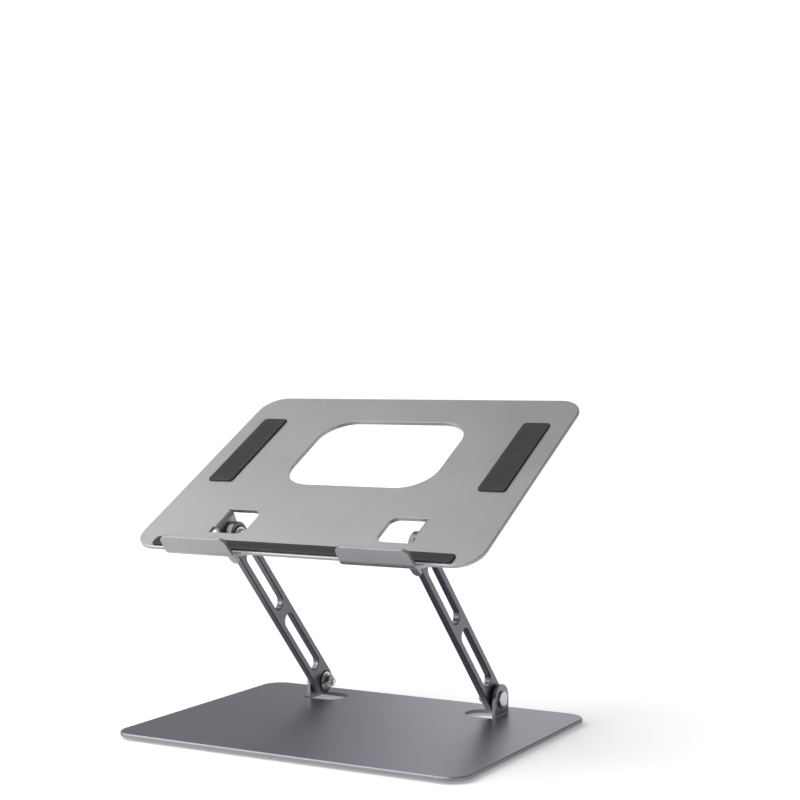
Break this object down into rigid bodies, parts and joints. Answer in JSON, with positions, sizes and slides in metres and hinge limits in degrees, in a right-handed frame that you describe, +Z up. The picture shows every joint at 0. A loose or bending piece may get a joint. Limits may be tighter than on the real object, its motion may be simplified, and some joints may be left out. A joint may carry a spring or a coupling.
{
  "type": "laptop stand",
  "caption": "Folding metal laptop stand: a flat base plate, slotted arms on friction pivots and a tilting tray with a central window and front hooks lined with rubber.",
  "frame": {"origin": "on the desk surface, under the middle of the base plate's footprint", "axes": "+X to the user's right, along the width of the base and the tray; +Y away from the user; +Z up"},
  "size_m": [0.261, 0.196, 0.2224],
  "materials": {
    "grey_anodised": "bead-blasted, grey anodised",
    "dark_grey_anodised": "bead-blasted, dark grey anodised",
    "polished_steel": "bright zinc or nickel plated steel",
    "black_nylon": "matt black nylon",
    "black_rubber": "matt black silicone rubber"
  },
  "bodies": {
    "base": {"base_plate": "grey_anodised", "base_foot_front_left": "black_rubber", "base_foot_front_right": "black_rubber", "base_foot_rear_left": "black_rubber", "base_foot_rear_right": "black_rubber", "left_base_pivot_bolt": "polished_steel", "left_base_pivot_friction_washer": "black_nylon", "left_base_pivot_inner_washer": "black_nylon", "left_base_pivot_flat_washer": "polished_steel", "left_base_pivot_spring_washer": "polished_steel", "left_base_pivot_nut": "polished_steel", "right_base_pivot_bolt": "polished_steel", "right_base_pivot_friction_washer": "black_nylon", "right_base_pivot_inner_washer": "black_nylon", "right_base_pivot_flat_washer": "polished_steel", "right_base_pivot_spring_washer": "polished_steel", "right_base_pivot_nut": "polished_steel"},
    "arms": {"left_arm": "dark_grey_anodised", "right_arm": "dark_grey_anodised"},
    "tray": {"tray_plate": "grey_anodised", "left_tray_pivot_bolt": "polished_steel", "left_tray_pivot_friction_washer": "black_nylon", "left_tray_pivot_inner_washer": "black_nylon", "left_tray_pivot_flat_washer": "polished_steel", "left_tray_pivot_spring_washer": "polished_steel", "left_tray_pivot_nut": "polished_steel", "right_tray_pivot_bolt": "polished_steel", "right_tray_pivot_friction_washer": "black_nylon", "right_tray_pivot_inner_washer": "black_nylon", "right_tray_pivot_flat_washer": "polished_steel", "right_tray_pivot_spring_washer": "polished_steel", "right_tray_pivot_nut": "polished_steel", "tray_front_pad": "black_rubber", "tray_left_pad": "black_rubber", "tray_right_pad": "black_rubber", "left_hook_pad": "black_rubber", "right_hook_pad": "black_rubber"}
  },
  "joints": [
    {"name": "base_pivot", "type": "hinge", "parent": "base", "child": "arms", "pos_m": [0, 0.071, 0.0152], "axis": [1, 0, 0], "range_deg": [-43, 44]},
    {"name": "tray_pivot", "type": "hinge", "parent": "arms", "child": "tray", "pos_m": [0, -0.03812, 0.13222], "axis": [1, 0, 0], "range_deg": [-76, 0]}
  ]
}
